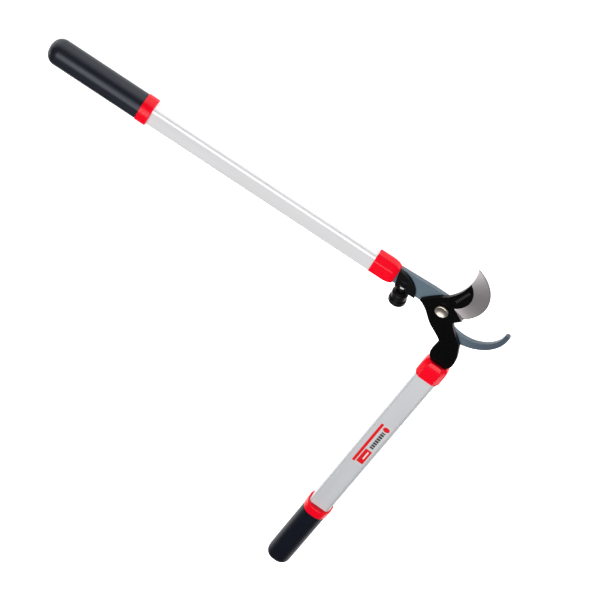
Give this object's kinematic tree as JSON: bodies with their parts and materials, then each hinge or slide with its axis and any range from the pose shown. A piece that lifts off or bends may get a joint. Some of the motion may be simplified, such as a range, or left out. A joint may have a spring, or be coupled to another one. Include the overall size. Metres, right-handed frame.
{
  "type": "bypass loppers",
  "caption": "Bypass loppers: curved cutting blade and hooked counter blade crossing on a pivot bolt, tubular handles with grips, rubber buffer.",
  "frame": {"origin": "on the pivot axis, midway between the two sliding faces of the levers", "axes": "+Z along the pivot axis towards the bolt head, square to the flat of the tool; jaws along +X; handles spread symmetrically about -X, hook handle on the +Y side"},
  "size_m": [0.5071, 0.8694, 0.0346],
  "materials": {
    "hook_coat": "blue-grey powder coat",
    "blade_coat": "black low-friction coating, bevel ground bright",
    "bolt_steel": "nickel plated",
    "bush_bronze": "sintered, oiled",
    "zinc_steel": "zinc plated",
    "nylon": "blue nylon",
    "bolster_plastic": "black moulded",
    "buffer_rubber": "black rubber",
    "red_plastic": "red moulded, satin gloss",
    "tube_aluminium": "satin anodised",
    "insert_plastic": "moulded nylon",
    "rivet_aluminium": "plain",
    "grip_vinyl": "soft blue-black vinyl",
    "label_film": "printed film, plain bars"
  },
  "bodies": {
    "hook_half": {"hook_lever": "hook_coat", "hook_bolster": "bolster_plastic", "buffer": "buffer_rubber", "buffer_stud": "zinc_steel", "buffer_nut": "zinc_steel", "pivot_bolt": "bolt_steel", "pivot_washer": "zinc_steel", "pivot_nut": "zinc_steel", "nut_ring": "nylon", "hook_ferrule": "red_plastic", "hook_tube": "tube_aluminium", "hook_tang_insert": "insert_plastic", "hook_tang_rivets": "rivet_aluminium", "hook_collar": "red_plastic", "hook_grip": "grip_vinyl"},
    "blade_half": {"blade_lever": "blade_coat", "pivot_bush": "bush_bronze", "blade_bolster": "bolster_plastic", "tube_label": "label_film", "blade_ferrule": "red_plastic", "blade_tube": "tube_aluminium", "blade_tang_insert": "insert_plastic", "blade_tang_rivets": "rivet_aluminium", "blade_collar": "red_plastic", "blade_grip": "grip_vinyl"}
  },
  "joints": [
    {"name": "jaw_pivot", "type": "hinge", "parent": "hook_half", "child": "blade_half", "pos_m": [0, 0, 0], "axis": [0, 0, -1], "range_deg": [-10, 69.5]}
  ]
}
